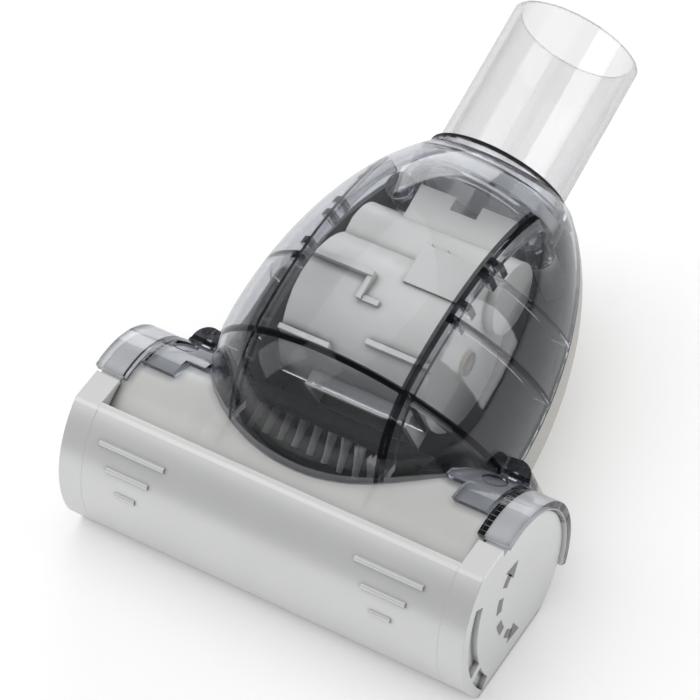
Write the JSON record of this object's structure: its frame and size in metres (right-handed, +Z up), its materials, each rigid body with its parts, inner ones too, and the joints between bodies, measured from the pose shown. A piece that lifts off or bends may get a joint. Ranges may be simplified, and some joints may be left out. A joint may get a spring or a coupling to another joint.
{
  "type": "vacuum cleaner turbo brush",
  "caption": "Air-driven turbo brush for upholstery: helical brush roll in a smoked clear chamber with an egg-shaped body, a turning silver hood and a clear tube socket.",
  "frame": {"origin": "on the floor plane, under the middle of the whole brush seen from above", "axes": "+X along the brush roll to the right, +Y from the hood to the tube, +Z up from the floor"},
  "size_m": [0.13, 0.1794, 0.0799],
  "materials": {
    "smoked_clear": "clear, polished, lightly smoked",
    "clear": "clear, polished",
    "silver": "silver paint, satin",
    "warm_grey": "fine texture",
    "black": "fine texture",
    "bronze": "sintered",
    "black_rubber": "matte",
    "steel": "ground",
    "natural_nylon": "satin",
    "bristle": "bundled filaments"
  },
  "bodies": {
    "housing": {"top_cover": "smoked_clear", "lower_shell": "warm_grey", "chamber_wall": "black", "turbine_cover": "warm_grey", "turbine_base": "warm_grey", "belt_guard": "black", "end_plate_l": "black", "end_plate_r": "black", "brush_bush_l": "bronze", "brush_bush_r": "bronze", "turbine_bush_l": "bronze", "turbine_bush_r": "bronze", "neck_seal": "black_rubber", "screw_front_l": "steel", "screw_front_r": "steel", "screw_rear_l": "steel", "screw_rear_r": "steel", "drive_belt": "black_rubber"},
    "hood": {"hood_plate": "silver", "hood_cap_l": "silver", "hood_cap_r": "silver"},
    "brush": {"brush_core": "black", "brush_axle": "steel", "brush_pulley": "natural_nylon", "tufts_a": "bristle", "tufts_b": "bristle"},
    "turbine": {"turbine_wheel": "natural_nylon", "turbine_shaft": "steel", "drive_pulley": "natural_nylon"},
    "neck": {"neck_tube": "clear", "neck_ring": "warm_grey"}
  },
  "joints": [
    {"name": "hood_turn", "type": "hinge", "parent": "housing", "child": "hood", "pos_m": [0, -0.05924, 0.02], "axis": [1, 0, 0], "range_deg": [0, 70]},
    {"name": "brush_spin", "type": "hinge", "parent": "housing", "child": "brush", "pos_m": [0, -0.05924, 0.02], "axis": [1, 0, 0], "continuous": true},
    {"name": "turbine_spin", "type": "hinge", "parent": "housing", "child": "turbine", "pos_m": [0, -0.01118, 0.03378], "axis": [1, 0, 0], "continuous": true},
    {"name": "neck_swivel", "type": "hinge", "parent": "housing", "child": "neck", "pos_m": [0, 0.03688, 0.04756], "axis": [0, 0.9613, 0.2756], "continuous": true}
  ],
  "couplings": [
    {"joint": "brush_spin", "follows": "turbine_spin", "ratio": 0.42105}
  ]
}
